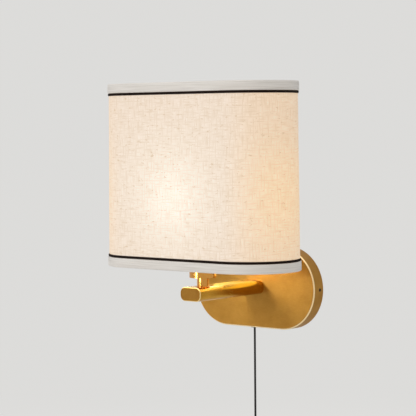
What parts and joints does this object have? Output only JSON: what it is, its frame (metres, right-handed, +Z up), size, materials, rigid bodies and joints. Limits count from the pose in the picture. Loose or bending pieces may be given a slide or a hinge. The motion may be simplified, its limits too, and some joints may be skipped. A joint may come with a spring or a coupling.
{
  "type": "wall light with fabric shade",
  "caption": "Wall light with an oblong fabric shade on a flat-oval brass arm and rounded wall plate, fed by a hanging mains cord with an in-line switch.",
  "frame": {"origin": "centre of the wall plate's back, on the wall's surface", "axes": "+Y into the wall, so the lamp stands out towards -Y; +Z up; +X to the right seen from the room"},
  "size_m": [0.2516, 0.1636, 0.5724],
  "materials": {
    "satin_brass": "satin",
    "dark_brass_screw": "satin",
    "bare_brass": "bare",
    "pin_brass": "nickel plated",
    "zinc_steel": "zinc plated",
    "holder_white": "matt",
    "porcelain": "glazed",
    "terminal_nylon": "matt",
    "black_rubber": "matt",
    "black_cord": "satin",
    "black_tie": "woven",
    "core_insulation": "satin",
    "lead_brown": "satin",
    "lead_blue": "satin",
    "white_wire": "powder coated",
    "liner_film": "translucent",
    "cream_linen": "woven",
    "grey_tape": "ribbed",
    "black_piping": "woven",
    "bulb_glass": "clear",
    "stem_glass": "clear",
    "cap_aluminium": "satin",
    "cap_insulator": "gloss",
    "filament_phosphor": "matt",
    "black_plastic": "satin",
    "black_gloss": "gloss"
  },
  "bodies": {
    "wall_unit": {"cover_plate": "satin_brass", "arm_tube": "satin_brass", "arm_end_cap": "satin_brass", "stem_sleeve": "satin_brass", "holder_cup": "satin_brass", "side_screws": "dark_brass_screw", "shade_ring_lower": "holder_white", "shade_ring_upper": "holder_white", "holder_base": "holder_white", "holder_sleeve": "holder_white", "contact_carrier": "porcelain", "holder_terminals": "bare_brass", "centre_contact": "bare_brass", "screw_shell": "bare_brass", "terminal_tubes": "bare_brass", "switch_contacts": "bare_brass", "arm_root_block": "bare_brass", "arm_nipple": "zinc_steel", "stem_nipple": "zinc_steel", "arm_washer": "zinc_steel", "arm_nut": "zinc_steel", "stem_nut": "zinc_steel", "wall_bracket": "zinc_steel", "bracket_screws": "zinc_steel", "terminal_screws": "zinc_steel", "arm_locating_pin": "zinc_steel", "switch_screws": "zinc_steel", "terminal_block": "terminal_nylon", "cord_saddle": "terminal_nylon", "cord_bridge": "terminal_nylon", "cord_grommet": "black_rubber", "cord_tail": "black_cord", "cord_upper": "black_cord", "cord_lower": "black_cord", "cord_coil": "black_cord", "plug_lead": "black_cord", "coil_tie": "black_tie", "cord_cores": "core_insulation", "lead_live": "lead_brown", "lead_neutral": "lead_blue", "switch_base": "black_plastic", "switch_cover": "black_plastic", "plug_body": "black_plastic", "plug_pins": "pin_brass"},
    "shade": {"shade_spider": "white_wire", "bottom_hoop": "white_wire", "top_hoop": "white_wire", "shade_liner": "liner_film", "shade_fabric": "cream_linen", "bottom_tape": "grey_tape", "top_tape": "grey_tape", "bottom_piping": "black_piping", "top_piping": "black_piping"},
    "bulb": {"bulb_glass": "bulb_glass", "bulb_cap": "cap_aluminium", "bulb_insulator": "cap_insulator", "bulb_contact": "bare_brass", "filament_stem": "stem_glass", "led_filaments": "filament_phosphor"},
    "rocker": {"switch_rocker": "black_gloss"}
  },
  "joints": [
    {"name": "shade_turn", "type": "hinge", "parent": "wall_unit", "child": "shade", "pos_m": [0, -0.1083, 0.053], "axis": [0, 0, 1], "range_deg": [-28, 28]},
    {"name": "bulb_turn", "type": "hinge", "parent": "wall_unit", "child": "bulb", "pos_m": [0, -0.1083, 0.06], "axis": [0, 0, 1], "range_deg": [0, 360]},
    {"name": "switch_press", "type": "hinge", "parent": "wall_unit", "child": "rocker", "pos_m": [-0.0055, -0.0115, -0.187], "axis": [-1, 0, 0], "range_deg": [0, 16]}
  ]
}
